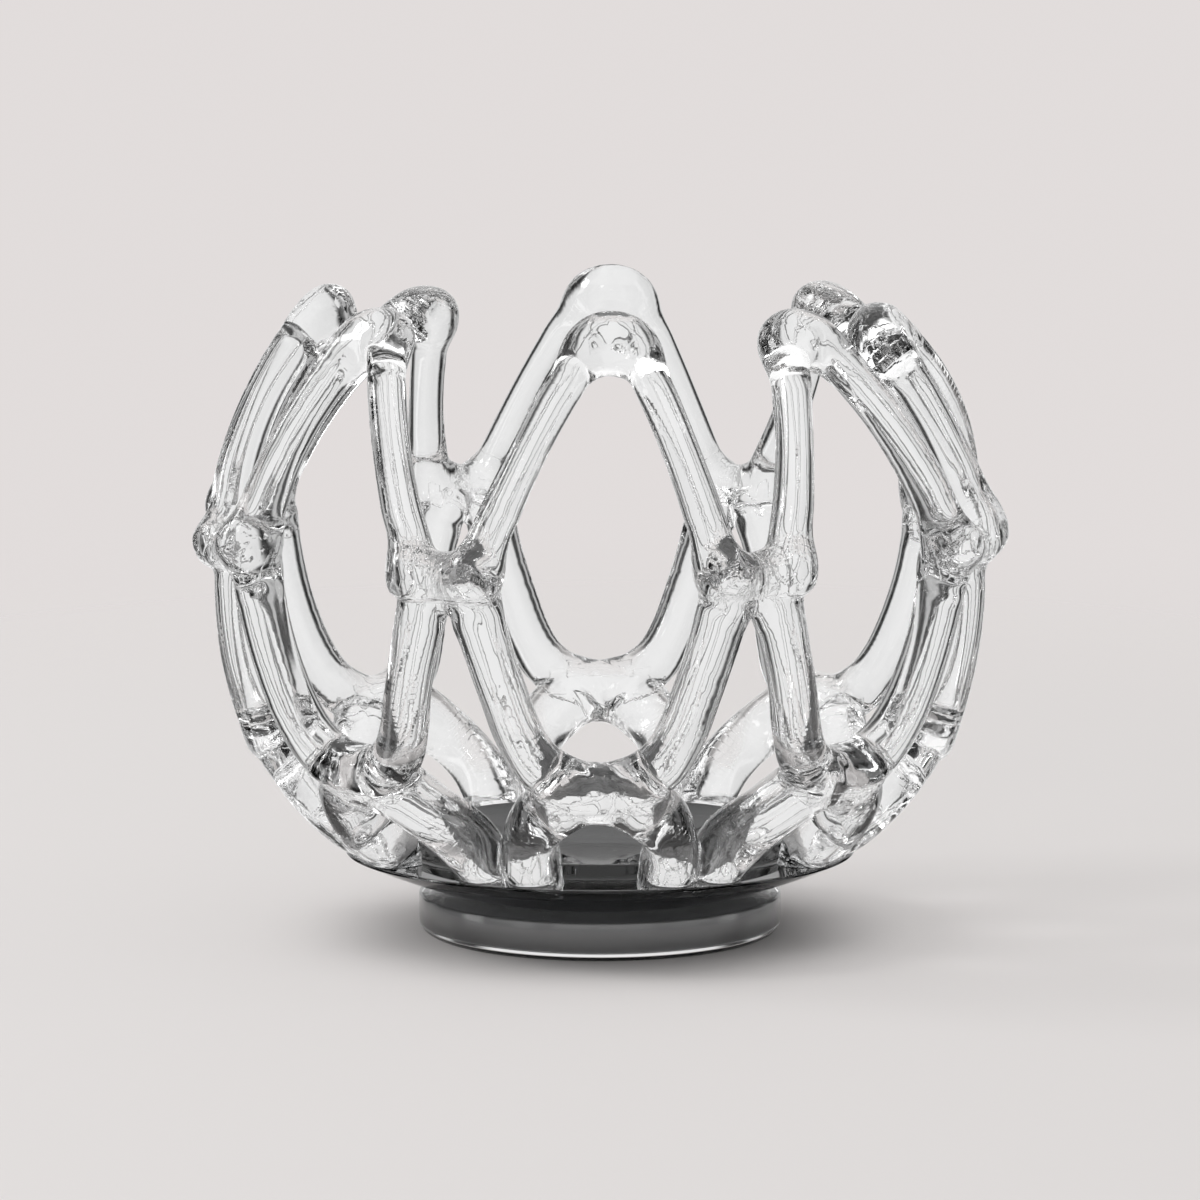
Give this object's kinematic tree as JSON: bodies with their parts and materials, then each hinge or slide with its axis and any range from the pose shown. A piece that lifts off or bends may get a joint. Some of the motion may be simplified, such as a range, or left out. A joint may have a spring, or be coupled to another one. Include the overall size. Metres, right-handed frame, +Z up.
{
  "type": "candle holder",
  "caption": "Openwork glass candle holder shaped like a lotus flower: arches of bent clear glass cane fused round a shallow smoke dish on a clear foot.",
  "frame": {"origin": "centre of the foot's underside, which the holder stands on", "axes": "+Z up through the middle of the bowl, -Y towards the front petal, +X to the right of a viewer who faces that petal"},
  "size_m": [0.147, 0.1466, 0.119],
  "materials": {
    "clear_glass": "clear polished glass",
    "smoke_glass": "dark smoke-grey polished glass"
  },
  "bodies": {
    "root": {"foot": "clear_glass", "dish": "smoke_glass", "root_arch_1": "clear_glass", "root_arch_2": "clear_glass", "root_arch_3": "clear_glass", "root_arch_4": "clear_glass", "root_arch_5": "clear_glass", "root_arch_6": "clear_glass", "root_arch_7": "clear_glass", "root_arch_8": "clear_glass", "middle_vee_1": "clear_glass", "middle_vee_2": "clear_glass", "middle_vee_3": "clear_glass", "middle_vee_4": "clear_glass", "middle_vee_5": "clear_glass", "middle_vee_6": "clear_glass", "middle_vee_7": "clear_glass", "middle_vee_8": "clear_glass", "petal_arch_1": "clear_glass", "petal_arch_2": "clear_glass", "petal_arch_3": "clear_glass", "petal_arch_4": "clear_glass", "petal_arch_5": "clear_glass", "petal_arch_6": "clear_glass", "petal_arch_7": "clear_glass", "petal_arch_8": "clear_glass"}
  },
  "joints": []
}
